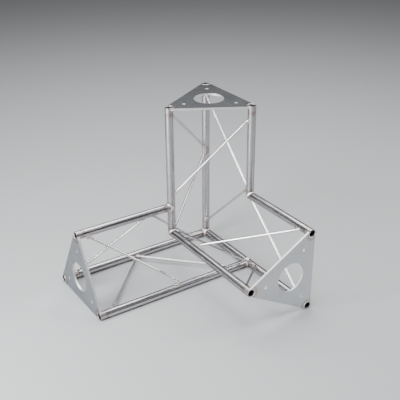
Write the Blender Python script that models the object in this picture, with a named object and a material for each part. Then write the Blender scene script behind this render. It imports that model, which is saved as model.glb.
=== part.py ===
"""Three-way corner of a triangular lighting truss.

Three arms meet at right angles: a tower that stands up (+Z), a left arm (-X) and a right arm (-Y).
Each arm is three round steel tubes, the chords, set in an equilateral triangle, with a zig-zag
bar in each of its three faces and a triangular bolting plate at its open end. Every joint is welded.

The frame has its origin under the middle of the corner, at floor level.
"""

import math

import bmesh
import bpy
from mathutils import Matrix, Vector

# ---------------------------------------------------------------- driving dimensions, in metres
CHORD_SPACING = 0.200  # centre to centre of the three chords of an arm
TUBE_RADIUS = 0.010  # chord tubes, outside
TUBE_WALL = 0.002
ARM_LENGTH = 0.450  # overall, from the far side of the corner to the outer face of an end plate
BAR_RADIUS = 0.003  # zig-zag bars, solid round
PLATE_THICKNESS = 0.005
PLATE_EDGE_REACH = 0.009  # how far a plate's edge lies outside the line between two chord centres
PLATE_HOLE_RADIUS = 0.0375
BOLT_HOLE_RADIUS = 0.0045
BOLT_CIRCLE_RADIUS = 0.073
JOINT_GAP = 0.0003  # clearance that pieces keep where they meet
BEND_RADIUS = 0.0045  # centre line of a bar, at each bend
BAR_CHAMFER = 0.0004  # broken edge at a bar's cut ends

TUBE_SIDES = 40
BAR_SIDES = 12
BEND_STEP = math.radians(15.0)
HOLE_SIDES = 72
BOLT_HOLE_SIDES = 28
NOTCH_STEPS = 18

# ---------------------------------------------------------------- derived positions
INNER_RADIUS = TUBE_RADIUS - TUBE_WALL
TRIANGLE_HEIGHT = CHORD_SPACING * math.sqrt(3.0) / 2.0
HUG = TUBE_RADIUS + BAR_RADIUS + JOINT_GAP  # chord axis to the axis of a bar that touches it
COPE_RADIUS = TUBE_RADIUS + JOINT_GAP

# The corner's own planes: the outer side of the tower and right arm, and the floor chords.
SIDE_X = ARM_LENGTH / 2.0 - TUBE_RADIUS
BACK_Y = ARM_LENGTH / 2.0 - TUBE_RADIUS
FRONT_Y = BACK_Y - CHORD_SPACING
MIDDLE_Y = BACK_Y - CHORD_SPACING / 2.0
LEFT_X = SIDE_X - TRIANGLE_HEIGHT
FLOOR_Z = TUBE_RADIUS
MIDDLE_Z = FLOOR_Z + CHORD_SPACING / 2.0
UPPER_Z = FLOOR_Z + CHORD_SPACING
RIDGE_Z = FLOOR_Z + TRIANGLE_HEIGHT
PLATE_END = ARM_LENGTH / 2.0  # left and right plates, outer faces, on -X and -Y
TOWER_TOP = ARM_LENGTH

UP = Vector((0.0, 0.0, 1.0))
LEFTWARD = Vector((-1.0, 0.0, 0.0))
FORWARD = Vector((0.0, -1.0, 0.0))

# Each arm: the way it points, the point on its corner plane where stations are counted from, its end,
# and its chords' centres in that plane.
ARMS = {
    "tower": {
        "direction": UP,
        "end": TOWER_TOP - FLOOR_Z,
        "chords": {
            "left": Vector((LEFT_X, MIDDLE_Y, FLOOR_Z)),
            "right": Vector((SIDE_X, FRONT_Y, FLOOR_Z)),
            "back": Vector((SIDE_X, BACK_Y, FLOOR_Z)),
        },
    },
    "right_arm": {
        "direction": FORWARD,
        "end": PLATE_END + FRONT_Y,
        "chords": {
            "top": Vector((SIDE_X, FRONT_Y, UPPER_Z)),
            "side": Vector((LEFT_X, FRONT_Y, MIDDLE_Z)),
            "bottom": Vector((SIDE_X, FRONT_Y, FLOOR_Z)),
        },
    },
    "left_arm": {
        "direction": LEFTWARD,
        "end": PLATE_END + SIDE_X,
        "chords": {
            "top": Vector((SIDE_X, MIDDLE_Y, RIDGE_Z)),
            "front": Vector((SIDE_X, FRONT_Y, FLOOR_Z)),
            "back": Vector((SIDE_X, BACK_Y, FLOOR_Z)),
        },
    },
}

# Zig-zag bars. A bar has one straight leg from each chord of its route to the next, given by the stations
# where it meets them: distances along the arm from the corner plane. Between two legs it lies along the
# chord. Each end turns along its chord for a short foot, positive towards the end plate; with no foot it
# is cut flush with the chord. The rolls turn its touch points round their chords, from facing the next
# chord towards the inside of the arm.
BARS = {
    "tower_brace_front": {
        "arm": "tower",
        "route": ("right", "left"),
        "legs": ((0.398, 0.215),),
        "feet": (0.0, 0.0),
        "rolls": (0.0, 0.0),
    },
    "tower_brace_left": {
        "arm": "tower",
        "route": ("left", "back", "left"),
        "legs": ((0.418, 0.270), (0.244, 0.105)),
        "feet": (0.010, -0.006),
        "rolls": (0.0, 0.0, 0.0),
    },
    "tower_brace_right": {
        "arm": "tower",
        "route": ("back", "right", "back"),
        "legs": ((0.411, 0.222), (0.210, 0.044)),
        "feet": (0.014, -0.004),
        "rolls": (25.0, 0.0, 25.0),
    },
    "right_arm_brace_top": {
        "arm": "right_arm",
        "route": ("top", "side"),
        "legs": ((0.197, 0.004),),
        "feet": (0.0, 0.026),
        "rolls": (0.0, 0.0),
    },
    "right_arm_brace_outer": {
        "arm": "right_arm",
        "route": ("top", "bottom"),
        "legs": ((0.012, 0.204),),
        "feet": (-0.006, 0.010),
        "rolls": (0.0, 0.0),
    },
    "right_arm_brace_under": {
        "arm": "right_arm",
        "route": ("side", "bottom", "side"),
        "legs": ((-0.094, 0.028), (0.042, 0.204)),
        "feet": (-0.004, 0.008),
        "rolls": (30.0, 30.0, 0.0),
    },
    "left_arm_brace_front": {
        "arm": "left_arm",
        "route": ("top", "front"),
        "legs": ((0.405, 0.209),),
        "feet": (0.008, 0.016),
        "rolls": (0.0, 0.0),
    },
    "left_arm_brace_back": {
        "arm": "left_arm",
        "route": ("back", "top", "back"),
        "legs": ((0.406, 0.243), (0.226, 0.064)),
        "feet": (0.010, -0.008),
        "rolls": (0.0, 0.0, 0.0),
    },
    "left_arm_brace_bottom": {
        "arm": "left_arm",
        "route": ("front", "back", "front"),
        "legs": ((0.398, 0.233), (0.226, 0.057)),
        "feet": (0.008, -0.008),
        "rolls": (0.0, 0.0, 0.0),
    },
}

# ---------------------------------------------------------------- materials


def steel(name, colour, roughness):
    """A bare or zinc-bright steel finish."""
    material = bpy.data.materials.new(name)
    material.use_nodes = True
    shader = material.node_tree.nodes["Principled BSDF"]
    shader.inputs["Base Color"].default_value = (*colour, 1.0)
    shader.inputs["Metallic"].default_value = 1.0
    shader.inputs["Roughness"].default_value = roughness
    return material


def new_object(name, mesh, material):
    """Wrap a finished mesh, smooth on its round sides and crisp at its edges."""
    mesh.shade_smooth()
    mesh.set_sharp_from_angle(angle=math.radians(35.0))
    mesh.materials.append(material)
    item = bpy.data.objects.new(name, mesh)
    bpy.context.scene.collection.objects.link(item)
    return item


# ---------------------------------------------------------------- chord tubes


def square_end(radial):
    """A straight cut across the tube."""
    return 0.0


def mitre_end(direction, other):
    """The cut where two tubes of an elbow meet on the plane that halves their angle."""
    normal = (direction - other).normalized()
    slope = direction.dot(normal)

    def reach(radial):
        return (JOINT_GAP / 2.0 - radial.dot(normal)) / slope

    return reach


def cope_end(across):
    """A saddle cut over a crossing tube; across is the direction square to both tubes' axes."""

    def reach(radial):
        return math.sqrt(COPE_RADIUS**2 - radial.dot(across) ** 2)

    return reach


def elbow_cope_end(radial):
    """The saddle of the back floor chord over the elbow of the tower's back chord and its neighbour."""
    on_tower_side = radial.y + radial.z >= 0.0
    offset = radial.y if on_tower_side else radial.z
    return math.sqrt(COPE_RADIUS**2 - offset**2)


def tube(name, start, direction, length, start_cut, material):
    """An open tube from start along direction; start_cut says how far each side is set back."""
    mesh = bpy.data.meshes.new(name)
    shape = bmesh.new()
    side = direction.orthogonal().normalized()
    lift = direction.cross(side)
    rings = []
    for radius, cut, distance in (
        (TUBE_RADIUS, start_cut, 0.0),
        (TUBE_RADIUS, square_end, length),
        (INNER_RADIUS, square_end, length),
        (INNER_RADIUS, start_cut, 0.0),
    ):
        ring = []
        for step in range(TUBE_SIDES):
            angle = 2.0 * math.pi * step / TUBE_SIDES
            radial = radius * (math.cos(angle) * side + math.sin(angle) * lift)
            ring.append(shape.verts.new(start + radial + (distance + cut(radial)) * direction))
        rings.append(ring)
    for ring, following in zip(rings, rings[1:] + rings[:1]):
        for step in range(TUBE_SIDES):
            after = (step + 1) % TUBE_SIDES
            shape.faces.new((ring[step], ring[after], following[after], following[step]))
    bmesh.ops.recalc_face_normals(shape, faces=shape.faces)
    shape.to_mesh(mesh)
    shape.free()
    return new_object(name, mesh, material)


def make_chords(material):
    """The nine chords: three of each arm, named for where they lie in it."""
    tower_elbow = mitre_end(UP, FORWARD)
    arm_elbow = mitre_end(FORWARD, UP)
    over_upright = cope_end(FORWARD)
    over_floor_chord = cope_end(UP)
    # name, corner end, direction, cut at the corner end
    chords = (
        ("tower_chord_left", Vector((LEFT_X, MIDDLE_Y, MIDDLE_Z)), UP, tower_elbow),
        ("tower_chord_right", Vector((SIDE_X, FRONT_Y, UPPER_Z)), UP, tower_elbow),
        ("tower_chord_back", Vector((SIDE_X, BACK_Y, FLOOR_Z)), UP, tower_elbow),
        ("right_arm_chord_top", Vector((SIDE_X, FRONT_Y, UPPER_Z)), FORWARD, arm_elbow),
        ("right_arm_chord_side", Vector((LEFT_X, MIDDLE_Y, MIDDLE_Z)), FORWARD, arm_elbow),
        ("right_arm_chord_bottom", Vector((SIDE_X, BACK_Y, FLOOR_Z)), FORWARD, arm_elbow),
        ("left_arm_chord_top", Vector((LEFT_X, MIDDLE_Y, RIDGE_Z)), LEFTWARD, over_upright),
        ("left_arm_chord_front", Vector((SIDE_X, FRONT_Y, FLOOR_Z)), LEFTWARD, over_floor_chord),
        ("left_arm_chord_back", Vector((SIDE_X, BACK_Y, FLOOR_Z)), LEFTWARD, elbow_cope_end),
    )
    open_end = TOWER_TOP * UP + PLATE_END * (LEFTWARD + FORWARD)
    for name, start, direction, cut in chords:
        length = (open_end - start).dot(direction)
        tube(name, start, direction, length, cut, material)


# ---------------------------------------------------------------- end plates


def plate_outline(centres):
    """Corners cut back round the chords, and straight edges just outside their centre lines."""
    centroid = sum(centres, Vector((0.0, 0.0))) / 3.0
    notch_radius = TUBE_RADIUS + JOINT_GAP
    # Where an edge line meets a notch, seen from the chord's centre: the angle off that edge.
    edge_angle = math.asin(PLATE_EDGE_REACH / notch_radius)
    half_notch = math.radians(30.0) + edge_angle
    points = []
    for centre in centres:
        inward = centroid - centre
        towards = math.atan2(inward.y, inward.x)
        for step in range(NOTCH_STEPS + 1):
            angle = towards + half_notch * (1.0 - 2.0 * step / NOTCH_STEPS)
            points.append(centre + notch_radius * Vector((math.cos(angle), math.sin(angle))))
    return points


def cylinder_cutter(shape, centre, radius, sides):
    """Add an upright cylinder to a cutter, well past both faces of a plate."""
    bmesh.ops.create_cone(
        shape,
        cap_ends=True,
        segments=sides,
        radius1=radius,
        radius2=radius,
        depth=4.0 * PLATE_THICKNESS,
        matrix=Matrix.Translation((centre.x, centre.y, -PLATE_THICKNESS / 2.0)),
    )


def end_plate(arm_name, material):
    """The bolting plate of one arm, drawn flat with its outer face at z = 0 and stood in place."""
    arm = ARMS[arm_name]
    outward = arm["direction"]
    across = Vector((1.0, 0.0, 0.0)) if outward != LEFTWARD else Vector((0.0, -1.0, 0.0))
    upward = outward.cross(across)
    turn = Matrix((across, upward, outward)).transposed().to_4x4()
    corners = [turn.inverted() @ chord for chord in arm["chords"].values()]
    centroid = sum((Vector((c.x, c.y)) for c in corners), Vector((0.0, 0.0))) / 3.0
    centres = [Vector((c.x, c.y)) - centroid for c in corners]
    centres.sort(key=lambda point: math.atan2(point.y, point.x))

    name = arm_name + "_end_plate"
    mesh = bpy.data.meshes.new(name)
    shape = bmesh.new()
    rim = [shape.verts.new((point.x, point.y, 0.0)) for point in plate_outline(centres)]
    sheet = shape.faces.new(rim)
    grown = bmesh.ops.extrude_face_region(shape, geom=[sheet])
    moved = [item for item in grown["geom"] if isinstance(item, bmesh.types.BMVert)]
    bmesh.ops.translate(shape, verts=moved, vec=(0.0, 0.0, -PLATE_THICKNESS))
    bmesh.ops.recalc_face_normals(shape, faces=shape.faces)
    shape.to_mesh(mesh)
    shape.free()
    plate = new_object(name, mesh, material)

    holes_mesh = bpy.data.meshes.new(name + "_holes")
    holes = bmesh.new()
    cylinder_cutter(holes, Vector((0.0, 0.0)), PLATE_HOLE_RADIUS, HOLE_SIDES)
    for centre in centres:
        cylinder_cutter(holes, centre.normalized() * BOLT_CIRCLE_RADIUS, BOLT_HOLE_RADIUS, BOLT_HOLE_SIDES)
    holes.to_mesh(holes_mesh)
    holes.free()
    cutter = bpy.data.objects.new(name + "_holes", holes_mesh)
    bpy.context.scene.collection.objects.link(cutter)
    cutter.hide_render = True
    cutter.display_type = "WIRE"
    drill = plate.modifiers.new("holes", "BOOLEAN")
    drill.operation = "DIFFERENCE"
    drill.solver = "EXACT"
    drill.object = cutter

    plane_start = turn @ Vector((centroid.x, centroid.y, corners[0].z))
    place = Matrix.Translation(plane_start + arm["end"] * outward) @ turn
    plate.matrix_world = place
    cutter.matrix_world = place


# ---------------------------------------------------------------- zig-zag bars


def rounded_path(corners):
    """The corner points with each bend replaced by an arc of the bend radius."""
    path = [corners[0]]
    for before, corner, after in zip(corners, corners[1:], corners[2:]):
        arriving = (corner - before).normalized()
        leaving = (after - corner).normalized()
        turning = arriving.angle(leaving)
        setback = BEND_RADIUS * math.tan(turning / 2.0)
        start = corner - setback * arriving
        inward = (leaving - leaving.project(arriving)).normalized()
        steps = max(2, math.ceil(turning / BEND_STEP))
        for step in range(steps + 1):
            angle = turning * step / steps
            path.append(start + BEND_RADIUS * (math.sin(angle) * arriving + (1.0 - math.cos(angle)) * inward))
    path.append(corners[-1])
    return path


def end_stations(point, heading, trim):
    """The last rings of a bar at one end, outermost first: broken-edged, or one ring cut flush."""
    if trim is None:
        broken = (point, heading, BAR_RADIUS - BAR_CHAMFER, None)
        full = (point + BAR_CHAMFER * heading, heading, BAR_RADIUS, None)
        return [broken, full]
    return [(point, heading, BAR_RADIUS, trim)]


def round_bar(name, corners, trims, material):
    """A solid round bar swept along its bent centre line; trims are the normals of its flush-cut ends."""
    path = rounded_path(corners)
    stations = end_stations(path[0], (path[1] - path[0]).normalized(), trims[0])
    for before, point, after in zip(path, path[1:], path[2:]):
        heading = (point - before).normalized() + (after - point).normalized()
        stations.append((point, heading.normalized(), BAR_RADIUS, None))
    far_end = end_stations(path[-1], (path[-2] - path[-1]).normalized(), trims[1])
    for point, heading, radius, trim in reversed(far_end):
        stations.append((point, -heading, radius, trim))

    mesh = bpy.data.meshes.new(name)
    shape = bmesh.new()
    side = stations[0][1].orthogonal().normalized()
    rings = []
    for point, heading, radius, trim in stations:
        side = (side - side.project(heading)).normalized()
        lift = heading.cross(side)
        ring = []
        for step in range(BAR_SIDES):
            angle = 2.0 * math.pi * step / BAR_SIDES
            offset = radius * (math.cos(angle) * side + math.sin(angle) * lift)
            if trim is not None:
                offset -= heading * offset.dot(trim) / heading.dot(trim)
            ring.append(shape.verts.new(point + offset))
        rings.append(ring)
    shape.faces.new(rings[0])
    shape.faces.new(rings[-1])
    for ring, following in zip(rings, rings[1:]):
        for step in range(BAR_SIDES):
            after = (step + 1) % BAR_SIDES
            shape.faces.new((ring[step], ring[after], following[after], following[step]))
    bmesh.ops.recalc_face_normals(shape, faces=shape.faces)
    shape.to_mesh(mesh)
    shape.free()
    return new_object(name, mesh, material)


def touch_direction(chords, chord, neighbour, roll):
    """From a chord's axis to where a bar touches it: towards the neighbour, rolled inwards."""
    towards = (chords[neighbour] - chords[chord]).normalized()
    centroid = sum(chords.values(), Vector()) / len(chords)
    inwards = centroid - chords[chord]
    inwards = (inwards - inwards.project(towards)).normalized()
    return math.cos(roll) * towards + math.sin(roll) * inwards


def finish_end(corners, foot, direction, towards):
    """Add a foot before the first corner, or run the leg on to the chord and say how it is cut."""
    if foot != 0.0:
        return [corners[0] + foot * direction, *corners], None
    leg = (corners[0] - corners[1]).normalized()
    return [corners[0] - leg * BAR_RADIUS / leg.dot(towards), *corners[1:]], towards


def make_bars(material):
    """Every zig-zag bar, led from chord to chord inside one face of its arm."""
    for name, bar in BARS.items():
        chords = ARMS[bar["arm"]]["chords"]
        direction = ARMS[bar["arm"]]["direction"]
        route = bar["route"]
        rolls = [math.radians(roll) for roll in bar["rolls"]]
        corners = []
        touches = []
        for index, (leaves_at, meets_at) in enumerate(bar["legs"]):
            chord, neighbour = route[index], route[index + 1]
            leaving = touch_direction(chords, chord, neighbour, rolls[index])
            meeting = touch_direction(chords, neighbour, chord, rolls[index + 1])
            corners.append(chords[chord] + HUG * leaving + leaves_at * direction)
            corners.append(chords[neighbour] + HUG * meeting + meets_at * direction)
            touches.extend((leaving, meeting))
        corners, first_trim = finish_end(corners, bar["feet"][0], direction, touches[0])
        corners.reverse()
        corners, last_trim = finish_end(corners, bar["feet"][1], direction, touches[-1])
        corners.reverse()
        round_bar(name, corners, (first_trim, last_trim), material)


# ---------------------------------------------------------------- the corner


def main():
    for item in list(bpy.data.objects):
        bpy.data.objects.remove(item, do_unlink=True)
    chord_steel = steel("chord_steel", (0.62, 0.63, 0.64), 0.24)
    plate_steel = steel("plate_steel", (0.58, 0.60, 0.62), 0.30)
    bar_steel = steel("bar_steel", (0.72, 0.72, 0.72), 0.22)
    make_chords(chord_steel)
    for arm_name in ARMS:
        end_plate(arm_name, plate_steel)
    make_bars(bar_steel)


main()
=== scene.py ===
"""Looks of the three-way corner of a triangular lighting truss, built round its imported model.

The frame gives every tube, plate and bar. This script adds the weld beads that join them, gives each
piece its steel finish with the heat tint beside its welds, and sets the floor, the lights and the camera.
"""

import math
import random

import bmesh
import bpy
import numpy as np
from mathutils import Matrix, Vector


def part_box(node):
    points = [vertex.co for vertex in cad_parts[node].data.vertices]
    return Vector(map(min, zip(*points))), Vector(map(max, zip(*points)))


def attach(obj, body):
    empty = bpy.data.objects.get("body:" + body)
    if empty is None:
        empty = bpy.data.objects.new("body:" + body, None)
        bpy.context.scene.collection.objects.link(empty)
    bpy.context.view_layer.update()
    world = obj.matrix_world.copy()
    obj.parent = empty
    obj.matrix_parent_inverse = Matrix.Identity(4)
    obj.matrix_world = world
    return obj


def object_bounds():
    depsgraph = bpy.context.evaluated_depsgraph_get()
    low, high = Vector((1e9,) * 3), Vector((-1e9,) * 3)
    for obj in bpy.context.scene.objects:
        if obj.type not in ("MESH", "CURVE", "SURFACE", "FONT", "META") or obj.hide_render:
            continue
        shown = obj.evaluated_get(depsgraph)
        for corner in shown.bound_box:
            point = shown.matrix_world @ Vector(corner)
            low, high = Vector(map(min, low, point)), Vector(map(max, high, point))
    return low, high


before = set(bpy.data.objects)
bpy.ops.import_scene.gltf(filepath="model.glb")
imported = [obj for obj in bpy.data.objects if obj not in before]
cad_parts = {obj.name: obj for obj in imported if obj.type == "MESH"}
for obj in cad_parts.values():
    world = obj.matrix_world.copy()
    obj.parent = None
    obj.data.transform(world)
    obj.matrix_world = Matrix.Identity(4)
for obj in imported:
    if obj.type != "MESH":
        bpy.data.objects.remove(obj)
CAD_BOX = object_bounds()

UP = Vector((0.0, 0.0, 1.0))
FORWARD = Vector((0.0, -1.0, 0.0))
LEFT = Vector((-1.0, 0.0, 0.0))
ARM_WAYS = {"tower": UP, "right_arm": FORWARD, "left_arm": LEFT}

# Each chord of the tower turns into one of the right arm's.
ELBOWS = (
    ("tower_chord_right", "right_arm_chord_top"),
    ("tower_chord_left", "right_arm_chord_side"),
    ("tower_chord_back", "right_arm_chord_bottom"),
)
# A tube, or one of the two in an elbow, that each chord of the left arm butts against.
ROOTS = {
    "left_arm_chord_top": "tower_chord_left",
    "left_arm_chord_front": "right_arm_chord_bottom",
    "left_arm_chord_back": "tower_chord_back",
}

# ---------------------------------------------------------------- welds and edges, lengths in metres
TUBE_BEAD = 0.0036  # half-width of the bead where two chords meet
BAR_BEAD = 0.0021  # where a bar touches a chord
PLATE_BEAD = 0.0017  # behind a plate, round a chord
FLUSH_BEAD = 0.0010  # the ground bead on a plate's outer face
BEAD_RISE = 0.5  # height of a bead over its half-width
BEAD_SIDES = 12
RIPPLE_PITCH = 0.0022  # one scale of the bead
RIPPLE_DEPTH = 0.12  # share of the bead's half-width
BEAD_STEP = RIPPLE_PITCH / 5.0  # from one ring of a bead to the next
FEWEST_STEPS = 8  # in the shortest bead
SWAY = 0.10  # how far a bead's half-width wanders, as a share of it
SWAY_STEPS = 10  # rings from one turn of that wandering to the next
TAPER_STEPS = 4  # rings over which the end of an open bead narrows
TAPER_END = 0.35  # share of the half-width left at its tip
SADDLE_LEAN = 0.6  # how far the bead of a saddle leans off the wall, along the chord

LOOP_STEPS = 96  # points on a path that goes all round
ARC_STEPS = LOOP_STEPS // 2
FILLET_STEPS = LOOP_STEPS // 4
SEPARATE_TOUCHES = 0.05  # a bar's touches on one chord are further apart than this
TOUCH_REACH = 0.0006  # how far outside a bar the bead round it lies
LONG_TOUCH = 0.013  # a foot or bend lies on its tube for longer than this
FILLET_SHARE = 0.75  # of a foot's length
FILLET_OFFSET = 0.0027  # to each side of the line where a bar touches
LOOP_SQUARENESS = 0.6  # power that squares off the oval round a cut end
PLATE_WRAP = math.radians(92.0)  # to each side of the way from a chord to its plate's middle
INNER_BEAD_GAP = 0.0002  # from a plate's inner face back to its bead
INNER_BEAD_CLEAR = 0.0005  # from a chord's wall out to that bead
FLUSH_BEAD_SINK = 0.0004  # from a plate's outer face back to its ground bead
FLUSH_BEAD_CLEAR = 0.0002  # from a chord's wall out to that bead

ELBOW_CORE = 1.25  # times a chord's radius: where the heat tint of an elbow begins
RIM_CORE = 1.1  # times a chord's radius: where the heat tint of a plate's weld begins
RIM_DEPTH = 0.006  # from a chord's open end back to the middle of that tint
BEND_CORE = 0.4  # times a foot's half length: where the tint on its tube begins

RIM_BEVEL = 0.00035
PLATE_BEVEL = 0.0004
BEVEL_ANGLE = math.radians(40.0)  # edges sharper than this are bevelled
FLAT_ANGLE = math.radians(1.0)  # faces within this of each other are one flat face
JOIN_DISTANCE = 0.00001
PLATE_NORMAL_WEIGHT = 100  # the large faces of a plate decide its shading


# ---------------------------------------------------------------- where the tubes and bars are


def chord_names(arm):
    return sorted(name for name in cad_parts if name.startswith(arm + "_chord"))


def brace_names(arm):
    return sorted(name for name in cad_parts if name.startswith(arm + "_brace"))


def arm_of(node):
    return next(arm for arm in ARM_WAYS if node.startswith(arm + "_"))


def chord_axis(node):
    """A point on a chord's axis, level with the frame's origin along it, and its open end's distance."""
    low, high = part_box(node)
    way = ARM_WAYS[arm_of(node)]
    middle = (low + high) / 2.0
    open_end = max(low.dot(way), high.dot(way))
    return middle - middle.dot(way) * way, open_end


def tube_radius():
    """Half the width of an upright tube."""
    low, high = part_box("tower_chord_left")
    return (high.x - low.x) / 2.0


def bar_radius():
    """Half the height of the bar that lies flat between the floor chords."""
    low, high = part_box("left_arm_brace_bottom")
    return (high.z - low.z) / 2.0


RADIUS = tube_radius()
BAR_RADIUS = bar_radius()


def meeting_point(one, other):
    """Where the axes of two crossing chords meet."""
    point, _ = chord_axis(one)
    target, _ = chord_axis(other)
    way = ARM_WAYS[arm_of(one)]
    return point + target.dot(way) * way


def touches(brace, chord):
    """The stretches of a chord that a bar lies on: the direction out to the bar, and the two stations."""
    way = ARM_WAYS[arm_of(chord)]
    start, _ = chord_axis(chord)
    corners = np.array([vertex.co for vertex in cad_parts[brace].data.vertices])
    offset = corners - np.array(start)
    along = offset @ np.array(way)
    radial = offset - np.outer(along, np.array(way))
    near = np.linalg.norm(radial, axis=1) < RADIUS + 2.0 * BAR_RADIUS + TOUCH_REACH
    if not near.any():
        return []
    order = np.argsort(along[near])
    stations = along[near][order]
    spokes = radial[near][order]
    breaks = np.where(np.diff(stations) > SEPARATE_TOUCHES)[0] + 1
    found = []
    for group in np.split(np.arange(len(stations)), breaks):
        out = Vector(spokes[group].mean(axis=0)).normalized()
        found.append((out, float(stations[group].min()), float(stations[group].max())))
    return found


# ---------------------------------------------------------------- weld beads


def resample(path, closed):
    """Points, outward normals and distances at even steps along a path of points and normals."""
    loop = path + [path[0]] if closed else path
    lengths = [0.0]
    for (a, _), (b, _) in zip(loop, loop[1:]):
        lengths.append(lengths[-1] + (b - a).length)
    count = max(FEWEST_STEPS, round(lengths[-1] / BEAD_STEP))
    made = []
    segment = 0
    for step in range(count if closed else count + 1):
        target = lengths[-1] * step / count
        while segment < len(loop) - 2 and lengths[segment + 1] < target:
            segment += 1
        span = max(lengths[segment + 1] - lengths[segment], 1e-9)
        share = (target - lengths[segment]) / span
        (a, a_normal), (b, b_normal) = loop[segment], loop[segment + 1]
        made.append((a.lerp(b, share), a_normal.lerp(b_normal, share).normalized(), target))
    return made


def bead_widths(name, half_width, stations, closed):
    """A bead's half-width at each station: its scales, its slow wandering and, if open, its two tips."""
    chance = random.Random(name)
    count = len(stations)
    sway = [chance.uniform(-1.0, 1.0) for _ in range(count // SWAY_STEPS + 3)]
    widths = []
    for index, (_, _, distance) in enumerate(stations):
        scale = 1.0 - RIPPLE_DEPTH + RIPPLE_DEPTH * abs(math.sin(math.pi * distance / RIPPLE_PITCH))
        slot, share = divmod(index / SWAY_STEPS, 1.0)
        drift = sway[int(slot)] * (1.0 - share) + sway[int(slot) + 1] * share
        if closed:
            drift *= min(1.0, index / SWAY_STEPS, (count - index) / SWAY_STEPS)
        width = half_width * scale * (1.0 + SWAY * drift)
        if not closed:
            end = min(index, count - 1 - index)
            width *= min(1.0, TAPER_END + (1.0 - TAPER_END) * math.sqrt(end / TAPER_STEPS))
        widths.append(width)
    return widths


def weld_bead(name, path, half_width, closed=True):
    """Overlapping scales of weld metal swept along a path of (point, outward normal)."""
    stations = resample(path, closed)
    widths = bead_widths(name, half_width, stations, closed)
    count = len(stations)
    shape = bmesh.new()
    rings = []
    for index, (point, normal, _) in enumerate(stations):
        before = stations[index - 1][0] if index or closed else point
        after = stations[(index + 1) % count][0] if index + 1 < count or closed else point
        tangent = (after - before).normalized()
        across = tangent.cross(normal).normalized()
        lift = across.cross(tangent)
        ring = []
        for side in range(BEAD_SIDES):
            angle = 2.0 * math.pi * side / BEAD_SIDES
            offset = math.cos(angle) * across + BEAD_RISE * math.sin(angle) * lift
            place = point + widths[index] * offset
            place.z = max(place.z, CAD_BOX[0].z)  # never under the floor
            ring.append(shape.verts.new(place))
        rings.append(ring)
    pairs = list(zip(rings, rings[1:]))
    if closed:
        pairs.append((rings[-1], rings[0]))
    else:
        shape.faces.new(rings[0])
        shape.faces.new(rings[-1])
    for ring, following in pairs:
        for side in range(BEAD_SIDES):
            after = (side + 1) % BEAD_SIDES
            shape.faces.new((ring[side], ring[after], following[after], following[side]))
    bmesh.ops.recalc_face_normals(shape, faces=shape.faces)
    for face in shape.faces:
        face.smooth = True
    mesh = bpy.data.meshes.new(name)
    shape.to_mesh(mesh)
    shape.free()
    piece = bpy.data.objects.new(name, mesh)
    bpy.context.scene.collection.objects.link(piece)
    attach(piece, "root")
    return piece


def elbow_path(one, other):
    """The slanted oval where two chords of a mitred elbow meet."""
    corner = meeting_point(one, other)
    first, second = ARM_WAYS[arm_of(one)], ARM_WAYS[arm_of(other)]
    sideways = first.cross(second)
    path = []
    for step in range(LOOP_STEPS):
        angle = 2.0 * math.pi * step / LOOP_STEPS
        radial = RADIUS * (math.cos(angle) * sideways + math.sin(angle) * (first + second))
        normal = math.cos(angle) * sideways + math.sin(angle) * (first + second) / math.sqrt(2.0)
        path.append((corner + radial, normal.normalized()))
    return path


def saddle_offset(radial, chord):
    """How far to the side of the tube it meets a point of a left arm chord's wall lies."""
    if chord == "left_arm_chord_top":
        return radial.dot(FORWARD)
    if chord == "left_arm_chord_front":
        return radial.dot(UP)
    # The back chord meets an elbow: its upright tube above the mitre, its level tube below.
    return radial.dot(FORWARD) if radial.dot(UP) >= radial.dot(FORWARD) else radial.dot(UP)


def saddle_path(chord):
    """The saddle where a chord of the left arm meets the tube, or the elbow, that it butts against."""
    corner = meeting_point(chord, ROOTS[chord])
    path = []
    for step in range(LOOP_STEPS):
        angle = 2.0 * math.pi * step / LOOP_STEPS
        radial = RADIUS * (math.cos(angle) * FORWARD + math.sin(angle) * UP)
        offset = saddle_offset(radial, chord)
        set_back = math.sqrt(max(RADIUS**2 - offset**2, 0.0))
        normal = (radial.normalized() + SADDLE_LEAN * LEFT).normalized()
        path.append((corner + radial + set_back * LEFT, normal))
    return path


def fillet_paths(chord, out, low, high):
    """One path along each side of a bar's long foot or bend."""
    way = ARM_WAYS[arm_of(chord)]
    start, _ = chord_axis(chord)
    across = way.cross(out)
    centre = (low + high) / 2.0
    half_length = FILLET_SHARE * (high - low) / 2.0
    paths = []
    for side in (-1.0, 1.0):
        turn = side * FILLET_OFFSET / RADIUS
        radial = math.cos(turn) * out + math.sin(turn) * across
        path = []
        for step in range(FILLET_STEPS + 1):
            along = centre + half_length * (2.0 * step / FILLET_STEPS - 1.0)
            path.append((start + along * way + RADIUS * radial, radial))
        paths.append(path)
    return paths


def squared_off(value):
    """A sine or cosine pushed outwards, which turns a circle into a rounded square."""
    return math.copysign(abs(value) ** LOOP_SQUARENESS, value)


def cut_end_path(chord, out, low, high):
    """A rounded rectangle round a bar's cut end that only just touches its chord."""
    way = ARM_WAYS[arm_of(chord)]
    start, _ = chord_axis(chord)
    across = way.cross(out)
    centre = (low + high) / 2.0
    half_length = (high - low) / 2.0 + TOUCH_REACH
    half_width = BAR_RADIUS + TOUCH_REACH
    path = []
    for step in range(LOOP_STEPS):
        angle = 2.0 * math.pi * step / LOOP_STEPS
        along = centre + half_length * squared_off(math.cos(angle))
        turn = half_width * squared_off(math.sin(angle)) / RADIUS
        radial = math.cos(turn) * out + math.sin(turn) * across
        path.append((start + along * way + RADIUS * radial, radial))
    return path


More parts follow.
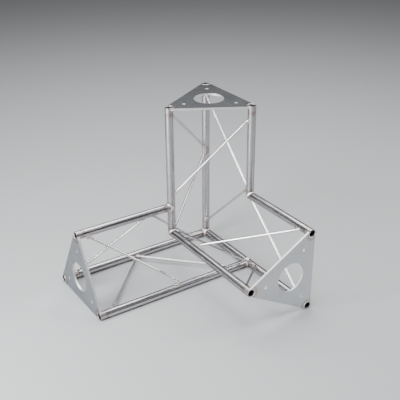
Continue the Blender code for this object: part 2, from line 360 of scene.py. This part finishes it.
def plate_arc(chord, face_distance, radius):
    """Round a chord, on the side where the plate's corner wraps it."""
    way = ARM_WAYS[arm_of(chord)]
    start, _ = chord_axis(chord)
    centres = [chord_axis(name)[0] for name in chord_names(arm_of(chord))]
    inward = sum(centres, Vector()) / len(centres) - start
    inward = (inward - inward.dot(way) * way).normalized()
    across = way.cross(inward)
    path = []
    for step in range(ARC_STEPS + 1):
        angle = PLATE_WRAP * (2.0 * step / ARC_STEPS - 1.0)
        radial = math.cos(angle) * inward + math.sin(angle) * across
        path.append((start + face_distance * way + radius * radial, radial))
    return path


welds = []
# Where each node's welds are, for its heat tint: a centre, and the radius that the weld itself takes up.
tint_spots = {name: [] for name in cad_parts}


def weld_elbows():
    """A bead round the mitre of each elbow."""
    for one, other in ELBOWS:
        welds.append(weld_bead("weld_" + one + "_elbow", elbow_path(one, other), TUBE_BEAD))
        corner = meeting_point(one, other)
        for node in (one, other):
            tint_spots[node].append((corner, ELBOW_CORE * RADIUS))


def weld_roots():
    """A bead round each coped end of the left arm, with its tint on every chord whose axis runs past it."""
    for chord, partner in sorted(ROOTS.items()):
        welds.append(weld_bead("weld_" + chord + "_root", saddle_path(chord), TUBE_BEAD))
        corner = meeting_point(chord, partner)
        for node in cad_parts:
            if "_chord_" not in node:
                continue
            start, _ = chord_axis(node)
            way = ARM_WAYS[arm_of(node)]
            gap = corner - start
            if (gap - gap.dot(way) * way).length < RADIUS / 2.0:
                tint_spots[node].append((corner + RADIUS * LEFT, RADIUS))


def weld_touch(brace, chord, number, touch):
    """The bead or beads where a bar lies on a chord."""
    out, low, high = touch
    if high - low > LONG_TOUCH:
        paths = fillet_paths(chord, out, low, high)
        closed = False
    else:
        paths = [cut_end_path(chord, out, low, high)]
        closed = True
    name = "weld_" + brace + "_" + chord.rsplit("_", 1)[1] + "_" + str(number)
    for path in paths:
        welds.append(weld_bead(name + "_" + str(len(welds)), path, BAR_BEAD, closed))
    start, _ = chord_axis(chord)
    middle = start + (low + high) / 2.0 * ARM_WAYS[arm_of(chord)] + RADIUS * out
    reach = (high - low) / 2.0
    tint_spots[chord].append((middle, BEND_CORE * reach))
    tint_spots[brace].append((middle, reach))


def weld_plate(arm):
    """A bead behind an arm's plate and a ground one on its face, round each of its chords."""
    way = ARM_WAYS[arm]
    plate = arm + "_end_plate"
    low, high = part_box(plate)
    inner_face, outer_face = sorted((low.dot(way), high.dot(way)))
    for chord in chord_names(arm):
        name = "weld_" + plate + "_" + chord.rsplit("_", 1)[1]
        inner = plate_arc(chord, inner_face - INNER_BEAD_GAP, RADIUS + INNER_BEAD_CLEAR)
        outer = plate_arc(chord, outer_face - FLUSH_BEAD_SINK, RADIUS + FLUSH_BEAD_CLEAR)
        welds.append(weld_bead(name + "_inner", inner, PLATE_BEAD, closed=False))
        welds.append(weld_bead(name + "_outer", outer, FLUSH_BEAD, closed=False))
        start, open_end = chord_axis(chord)
        corner = start + open_end * way
        tint_spots[plate].append((corner, RIM_CORE * RADIUS))
        tint_spots[chord].append((corner - RIM_DEPTH * way, RIM_CORE * RADIUS))


weld_elbows()
weld_roots()
for arm in ARM_WAYS:
    for brace in brace_names(arm):
        for chord in chord_names(arm):
            for number, touch in enumerate(touches(brace, chord)):
                weld_touch(brace, chord, number, touch)
    weld_plate(arm)


# ---------------------------------------------------------------- soft edges on the tubes, bars and plates


def shading_group():
    """Joins the faces of a CAD mesh and shades them smooth, so that round walls have no flats."""
    group = bpy.data.node_groups.new("joined_faces", "GeometryNodeTree")
    group.interface.new_socket("Geometry", in_out="INPUT", socket_type="NodeSocketGeometry")
    group.interface.new_socket("Geometry", in_out="OUTPUT", socket_type="NodeSocketGeometry")
    source = group.nodes.new("NodeGroupInput")
    join = group.nodes.new("GeometryNodeMergeByDistance")
    join.inputs["Distance"].default_value = JOIN_DISTANCE
    plain = group.nodes.new("GeometryNodeRemoveAttribute")
    plain.inputs["Name"].default_value = "custom_normal"
    smooth = group.nodes.new("GeometryNodeSetShadeSmooth")
    smooth.domain = "FACE"
    edges = group.nodes.new("GeometryNodeSetShadeSmooth")
    edges.domain = "EDGE"
    result = group.nodes.new("NodeGroupOutput")
    chain = (source, join, plain, smooth, edges, result)
    for before, after in zip(chain, chain[1:]):
        group.links.new(before.outputs["Geometry"], after.inputs["Geometry"])
    return group


def soften_edges(node, group, width):
    """A small bevel on the cut and sheared edges, with the flat and round faces kept true."""
    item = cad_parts[node]
    join = item.modifiers.new("join", "NODES")
    join.node_group = group
    is_plate = node.endswith("_plate")
    if is_plate:
        flat = item.modifiers.new("flat", "DECIMATE")
        flat.decimate_type = "DISSOLVE"
        flat.angle_limit = FLAT_ANGLE
    bevel = item.modifiers.new("edge", "BEVEL")
    bevel.width = width
    bevel.segments = 2
    bevel.limit_method = "ANGLE"
    bevel.angle_limit = BEVEL_ANGLE
    even = item.modifiers.new("even", "WEIGHTED_NORMAL")
    even.keep_sharp = False
    if is_plate:
        even.weight = PLATE_NORMAL_WEIGHT


joined_faces = shading_group()
for arm in ARM_WAYS:
    soften_edges(arm + "_end_plate", joined_faces, PLATE_BEVEL)
    for node in chord_names(arm) + brace_names(arm):
        soften_edges(node, joined_faces, RIM_BEVEL)


# ---------------------------------------------------------------- materials


class Tree:
    """A material's node tree, with short ways to add and join nodes."""

    COLOUR_INPUTS = (6, 7)  # of a mix node, whose sockets share their names
    COLOUR_OUTPUT = 2

    def __init__(self, name):
        self.material = bpy.data.materials.new(name)
        self.material.use_nodes = True
        self.nodes = self.material.node_tree.nodes
        self.links = self.material.node_tree.links
        self.shader = self.nodes["Principled BSDF"]
        self.place = self.nodes.new("ShaderNodeTexCoord").outputs["Object"]

    def set(self, node, socket, value):
        if isinstance(value, bpy.types.NodeSocket):
            self.links.new(value, node.inputs[socket])
        else:
            node.inputs[socket].default_value = value

    def math(self, operation, first, second=0.0):
        node = self.nodes.new("ShaderNodeMath")
        node.operation = operation
        self.set(node, 0, first)
        self.set(node, 1, second)
        return node.outputs[0]

    def stretch(self, scale):
        node = self.nodes.new("ShaderNodeMapping")
        self.set(node, "Vector", self.place)
        self.set(node, "Scale", scale)
        return node.outputs[0]

    def noise(self, vector, scale, detail=2.0, roughness=0.5):
        node = self.nodes.new("ShaderNodeTexNoise")
        self.set(node, "Vector", vector)
        self.set(node, "Scale", scale)
        self.set(node, "Detail", detail)
        self.set(node, "Roughness", roughness)
        return node.outputs["Fac"]

    def ramp(self, factor, stops):
        node = self.nodes.new("ShaderNodeValToRGB")
        elements = node.color_ramp.elements
        while len(elements) < len(stops):
            elements.new(0.5)
        for element, (position, colour) in zip(elements, stops):
            element.position = position
            element.color = (*colour, 1.0)
        self.set(node, "Fac", factor)
        return node.outputs["Color"]

    def remap(self, value, low, high, new_low, new_high):
        node = self.nodes.new("ShaderNodeMapRange")
        self.set(node, "Value", value)
        self.set(node, "From Min", low)
        self.set(node, "From Max", high)
        self.set(node, "To Min", new_low)
        self.set(node, "To Max", new_high)
        return node.outputs["Result"]

    def spread(self, noise, new_low, new_high):
        """A noise stretched to a range."""
        return self.remap(noise, *NOISE_SPREAD, new_low, new_high)

    def mix(self, factor, first, second, blend="MIX"):
        node = self.nodes.new("ShaderNodeMix")
        node.data_type = "RGBA"
        node.blend_type = blend
        self.set(node, 0, factor)
        for socket, colour in zip(self.COLOUR_INPUTS, (first, second)):
            self.set(node, socket, colour)
        return node.outputs[self.COLOUR_OUTPUT]

    def bump(self, height, strength, distance, normal=None):
        node = self.nodes.new("ShaderNodeBump")
        self.set(node, "Height", height)
        self.set(node, "Strength", strength)
        self.set(node, "Distance", distance)
        if normal is not None:
            self.set(node, "Normal", normal)
        return node.outputs["Normal"]

    def cut_face(self, axis):
        """1 on the sheared edges and hole walls of a sheet whose faces point along an axis, else 0."""
        facing = self.nodes.new("ShaderNodeVectorMath")
        facing.operation = "DOT_PRODUCT"
        self.set(facing, 0, self.nodes.new("ShaderNodeNewGeometry").outputs["Normal"])
        self.set(facing, 1, tuple(axis))
        return self.remap(self.math("ABSOLUTE", facing.outputs["Value"]), *CUT_FACING, 1.0, 0.0)

    def nearest(self, spots):
        """The distance to the edge of the closest weld."""
        closest = None
        for centre, core in spots:
            node = self.nodes.new("ShaderNodeVectorMath")
            node.operation = "DISTANCE"
            self.set(node, 0, self.place)
            self.set(node, 1, tuple(centre))
            gap = self.math("SUBTRACT", node.outputs["Value"], core)
            closest = gap if closest is None else self.math("MINIMUM", closest, gap)
        return closest


# A finish: its colour, its roughness, how cloudy its colour is, how uneven its gloss, how deep its waves.
CHORD_FINISH = {"tone": (0.55, 0.535, 0.555), "rough": 0.21, "mottle": 0.12, "uneven": 0.12, "waves": 0.6}
BAR_FINISH = {"tone": (0.87, 0.85, 0.87), "rough": 0.20, "mottle": 0.05, "uneven": 0.05, "waves": 0.06}
PLATE_FINISH = {"tone": (0.62, 0.64, 0.66), "rough": 0.22, "mottle": 0.07, "uneven": 0.02, "waves": 0.012}

# Noise scales, in cells to the metre.
CLOUDS = 30.0
FLECKS = 420.0
HEAT_EDGE = 210.0
BEAD_PATCHES = 160.0
BEAD_GRIT = 900.0
DRAWN_ALONG, DRAWN_ACROSS = 14.0, 900.0  # the grain of a drawn tube
ROLLED_ALONG, ROLLED_ACROSS = 60.0, 700.0  # the grain of a rolled sheet
BAR_GRAIN = (500.0, 500.0, 500.0)
BAND_SHARE = 0.3  # the scale of the grain's broad bands, as a share of its lines'

NOISE_SPREAD = (0.3, 0.7)  # where nearly all of a noise's values lie
CLOUD_SPREAD = (0.35, 0.65)
CUT_FACING = (0.3, 0.8)  # from a cut edge to a face of the sheet: how squarely the surface faces the axis

# Each of these is multiplied by the finish's mottle, its unevenness or its waves.
FLECK_STRENGTH = 1.5
BAND_STRENGTH = 2.0
BAND_GLOSS = (-2.0, 3.0)  # roughness less and more, as a share of it
LINE_GLOSS = (-0.2, 0.3)  # roughness less and more
GRAIN_DEPTH = 0.00004  # metres
CLOUD_DEPTH = 0.0002

FLECK_COLOURS = ((0.30, (0.80, 0.79, 0.78)), (0.50, (1.0, 1.0, 1.0)))
BAND_COLOURS = ((0.35, (0.78, 0.78, 0.80)), (0.60, (1.0, 1.0, 1.0)))
EDGE_TINT = (0.25, 0.26, 0.28, 1.0)  # of reflections at grazing angles
CUT_TONE = (0.88, 0.88, 0.88, 1.0)
CUT_ROUGHNESS = 0.25  # more than the sheet's faces have

TINT_WIDTH = 0.011  # metres from a weld to where its discolouring ends
TINT_RAGGED = 0.22  # how far that edge wanders, as a share of the width
TINT_STRENGTH = 0.75
SOOT_WIDTH = 0.7  # the dulled stretch beside a weld, as a share of the tint's width
SOOT_ROUGHNESS = 0.10
HEAT_COLOURS = (  # from the weld outwards, in shares of the tint's width
    (0.0, (0.92, 0.88, 0.86)),
    (0.22, (0.66, 0.58, 0.59)),
    (0.40, (0.70, 0.54, 0.42)),
    (0.62, (0.86, 0.77, 0.64)),
    (0.95, (1.0, 1.0, 1.0)),
)
BEAD_COLOURS = (  # over the patches of a bead
    (0.26, (0.66, 0.57, 0.54)),
    (0.38, (0.90, 0.84, 0.83)),
    (0.58, (0.98, 0.94, 0.94)),
)
BEAD_ROUGHNESS = (0.26, 0.46)
GRIT_DEPTH = 0.0004  # metres
GRIT_STRENGTH = 0.25


def steel(name, grain, spots, tone, rough, mottle, uneven, waves, cut_axis=None):
    """Bright steel: drawn or rolled grain, cloudy zinc, fine flecks, and heat tint beside the welds."""
    tree = Tree(name)
    clouds = tree.noise(tree.place, CLOUDS, detail=3.0, roughness=0.55)
    flecks = tree.noise(tree.place, FLECKS, detail=2.0, roughness=0.6)
    lines = tree.noise(tree.stretch(grain), 1.0, detail=3.0, roughness=0.65)
    bands = tree.noise(tree.stretch(tuple(BAND_SHARE * part for part in grain)), 1.0, detail=1.0)
    dull = tuple((1.0 - mottle) * part for part in tone)
    colour = tree.mix(tree.remap(clouds, *CLOUD_SPREAD, 0.0, 1.0), (*dull, 1.0), (*tone, 1.0))
    colour = tree.mix(FLECK_STRENGTH * mottle, colour, tree.ramp(flecks, FLECK_COLOURS), "MULTIPLY")
    colour = tree.mix(BAND_STRENGTH * mottle, colour, tree.ramp(bands, BAND_COLOURS), "MULTIPLY")
    finish = tree.spread(bands, *(rough * (1.0 + part * uneven) for part in BAND_GLOSS))
    finish = tree.math("ADD", finish, tree.spread(lines, *(part * uneven for part in LINE_GLOSS)))
    if spots:
        reach = tree.math("DIVIDE", tree.nearest(spots), TINT_WIDTH)
        ragged = tree.noise(tree.place, HEAT_EDGE)
        reach = tree.math("ADD", reach, tree.spread(ragged, -TINT_RAGGED, TINT_RAGGED))
        colour = tree.mix(TINT_STRENGTH, colour, tree.ramp(reach, HEAT_COLOURS), "MULTIPLY")
        soot = tree.remap(reach, 0.0, SOOT_WIDTH, SOOT_ROUGHNESS, 0.0)
        finish = tree.math("ADD", finish, tree.math("MAXIMUM", soot, 0.0))
    if cut_axis is not None:
        cut = tree.cut_face(cut_axis)
        colour = tree.mix(cut, colour, CUT_TONE)
        finish = tree.math("ADD", finish, tree.math("MULTIPLY", cut, CUT_ROUGHNESS))
    tree.set(tree.shader, "Base Color", colour)
    tree.set(tree.shader, "Roughness", finish)
    tree.set(tree.shader, "Metallic", 1.0)
    tree.set(tree.shader, "Specular Tint", EDGE_TINT)
    normal = tree.bump(lines, 1.0, GRAIN_DEPTH * waves)
    normal = tree.bump(clouds, 1.0, CLOUD_DEPTH * waves, normal)
    tree.set(tree.shader, "Normal", normal)
    return tree.material


def weld_metal():
    """Bright bead metal with a pinkish sheen and brown patches."""
    tree = Tree("weld_metal")
    patches = tree.noise(tree.place, BEAD_PATCHES)
    grit = tree.noise(tree.place, BEAD_GRIT, detail=2.0, roughness=0.6)
    tree.set(tree.shader, "Base Color", tree.ramp(patches, BEAD_COLOURS))
    tree.set(tree.shader, "Metallic", 1.0)
    tree.set(tree.shader, "Roughness", tree.spread(grit, *BEAD_ROUGHNESS))
    tree.set(tree.shader, "Normal", tree.bump(grit, GRIT_STRENGTH, GRIT_DEPTH))
    return tree.material


def dress(piece, material):
    piece.data.materials.clear()
    piece.data.materials.append(material)


def dress_node(node, grain, finish, cut_axis=None):
    material = steel(node + "_steel", grain, tint_spots[node], cut_axis=cut_axis, **finish)
    dress(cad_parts[node], material)


def drawn_grain(way):
    """Long along a tube and fine across it."""
    return tuple(DRAWN_ALONG if abs(part) > 0.5 else DRAWN_ACROSS for part in way)


def rolled_grain(way):
    """Fine across a level direction in the sheet: X, or Y where the sheet faces along X."""
    across = 1 if abs(way.x) > 0.5 else 0
    return tuple(ROLLED_ACROSS if axis == across else ROLLED_ALONG for axis in range(3))


for arm, way in ARM_WAYS.items():
    for chord in chord_names(arm):
        dress_node(chord, drawn_grain(way), CHORD_FINISH)
    for brace in brace_names(arm):
        dress_node(brace, BAR_GRAIN, BAR_FINISH)
    dress_node(arm + "_end_plate", rolled_grain(way), PLATE_FINISH, cut_axis=way)

bead_material = weld_metal()
for weld in welds:
    dress(weld, bead_material)


# ---------------------------------------------------------------- floor, light and camera

FLOOR_SIZE = 30.0
FLOOR_TONE = (0.42, 0.43, 0.44, 1.0)
FLOOR_ROUGHNESS = 0.6
# The height of a direction, 0 at the horizon and 1 overhead, and how bright it is.
SKY = ((0.10, 0.04), (0.40, 0.16), (0.55, 0.22), (1.0, 0.14))
SOFTBOXES = (  # name, place and size in metres, watts
    ("overhead", (0.40, 0.90, 2.15), (1.8, 1.5), 50.0),
    ("key", (-1.35, -0.10, 1.10), (0.8, 1.1), 40.0),
    ("side", (1.68, -0.88, 1.42), (0.7, 0.9), 24.0),
    ("front", (-0.23, -0.64, 2.20), (0.9, 0.9), 24.0),
    ("low", (-1.45, -0.12, 0.42), (0.6, 0.6), 20.0),
    ("rear", (1.05, 1.55, 1.35), (1.2, 0.7), 0.5),
)
CAMERA_PLACE = Vector((-0.8336, -1.3463, 1.0713))
CAMERA_AZIMUTH = math.radians(33.385)  # from +Y towards +X
CAMERA_DIP = math.radians(27.06)
CAMERA_ROLL = math.radians(-0.35)
CAMERA_LENS = 67.9  # mm
CAMERA_SENSOR = 36.0  # mm


def make_floor():
    bpy.ops.mesh.primitive_plane_add(size=FLOOR_SIZE, location=(0.0, 0.0, 0.0))
    floor = bpy.context.object
    floor.name = "floor"
    tree = Tree("floor_paint")
    tree.set(tree.shader, "Base Color", FLOOR_TONE)
    tree.set(tree.shader, "Roughness", FLOOR_ROUGHNESS)
    dress(floor, tree.material)


def make_world():
    """Soft grey surroundings, dark at the horizon and brightest a third of the way up."""
    world = bpy.data.worlds.new("studio")
    bpy.context.scene.world = world
    world.use_nodes = True
    nodes = world.node_tree.nodes
    links = world.node_tree.links
    place = nodes.new("ShaderNodeTexCoord")
    split = nodes.new("ShaderNodeSeparateXYZ")
    ramp = nodes.new("ShaderNodeValToRGB")
    elements = ramp.color_ramp.elements
    while len(elements) < len(SKY):
        elements.new(0.5)
    for element, (height, level) in zip(elements, SKY):
        element.position = height
        element.color = (level, level, level, 1.0)
    links.new(place.outputs["Generated"], split.inputs[0])
    links.new(split.outputs["Z"], ramp.inputs["Fac"])
    links.new(ramp.outputs["Color"], nodes["Background"].inputs["Color"])
    nodes["Background"].inputs["Strength"].default_value = 1.0


def softbox(name, place, size, power):
    """A soft rectangular lamp aimed at the middle of the object."""
    data = bpy.data.lights.new(name, "AREA")
    data.shape = "RECTANGLE"
    data.size, data.size_y = size
    data.energy = power
    lamp = bpy.data.objects.new(name, data)
    target = (CAD_BOX[0] + CAD_BOX[1]) / 2.0
    lamp.location = place
    lamp.rotation_mode = "QUATERNION"
    lamp.rotation_quaternion = (target - Vector(place)).to_track_quat("-Z", "Y")
    bpy.context.scene.collection.objects.link(lamp)


def make_camera():
    data = bpy.data.cameras.new("camera")
    data.sensor_width = CAMERA_SENSOR
    data.lens = CAMERA_LENS
    camera = bpy.data.objects.new("camera", data)
    ahead = Vector(
        (
            math.sin(CAMERA_AZIMUTH) * math.cos(CAMERA_DIP),
            math.cos(CAMERA_AZIMUTH) * math.cos(CAMERA_DIP),
            -math.sin(CAMERA_DIP),
        )
    )
    level_right = Vector((math.cos(CAMERA_AZIMUTH), -math.sin(CAMERA_AZIMUTH), 0.0))
    level_up = level_right.cross(ahead)
    right = math.cos(CAMERA_ROLL) * level_right + math.sin(CAMERA_ROLL) * level_up
    top = math.cos(CAMERA_ROLL) * level_up - math.sin(CAMERA_ROLL) * level_right
    turn = Matrix((right, top, -ahead)).transposed().to_4x4()
    camera.matrix_world = Matrix.Translation(CAMERA_PLACE) @ turn
    bpy.context.scene.collection.objects.link(camera)
    bpy.context.scene.camera = camera


make_floor()
make_world()
for name, place, size, power in SOFTBOXES:
    softbox(name, place, size, power)
make_camera()
